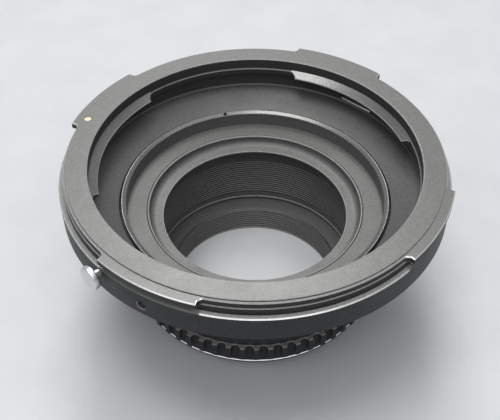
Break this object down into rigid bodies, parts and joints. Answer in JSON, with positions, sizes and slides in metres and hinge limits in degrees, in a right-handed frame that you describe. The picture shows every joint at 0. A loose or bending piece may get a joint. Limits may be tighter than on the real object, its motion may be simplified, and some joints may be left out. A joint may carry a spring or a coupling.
{
  "type": "lens mount adapter",
  "caption": "Black lens mount adapter: a wide ring with inner and outer bayonet lugs and a sprung lock pin, stepped down by a grooved sleeve to a small camera bayonet with a ribbed grip ring.",
  "frame": {"origin": "on the optical axis, in the plane of the camera spigot's lower end, on which the adapter stands", "axes": "+Z along the optical axis from the camera side to the lens side; the pull head of the lens lock points along azimuth 224.5 degrees, counted from +X towards +Y"},
  "size_m": [0.0896, 0.0896, 0.045],
  "materials": {
    "black_anodised": "black satin anodised over fine blasting",
    "index_enamel": "pale enamel",
    "black_steel": "blackened steel",
    "polished_steel": "polished",
    "brass_bush": "turned",
    "spring_steel": "drawn wire"
  },
  "bodies": {
    "adapter": {"lens_mount_body": "black_anodised", "index_dot": "index_enamel", "stop_screw": "black_steel", "lock_bush": "brass_bush", "lock_spring": "spring_steel", "retaining_ring": "black_anodised", "inner_sleeve": "black_anodised", "light_baffle": "black_anodised", "ribbed_ring": "black_anodised", "camera_bayonet": "black_anodised", "bayonet_screws": "black_steel"},
    "lens_lock": {"lock_pin": "polished_steel", "lock_head": "polished_steel"}
  },
  "joints": [
    {"name": "lock_slide", "type": "slide", "parent": "adapter", "child": "lens_lock", "axis": [-0.7133, -0.7009, 0], "range_m": [0, 0.0014], "stiffness_N_per_m": 600, "springref_m": -0.001, "deforming": ["lock_spring"]}
  ]
}
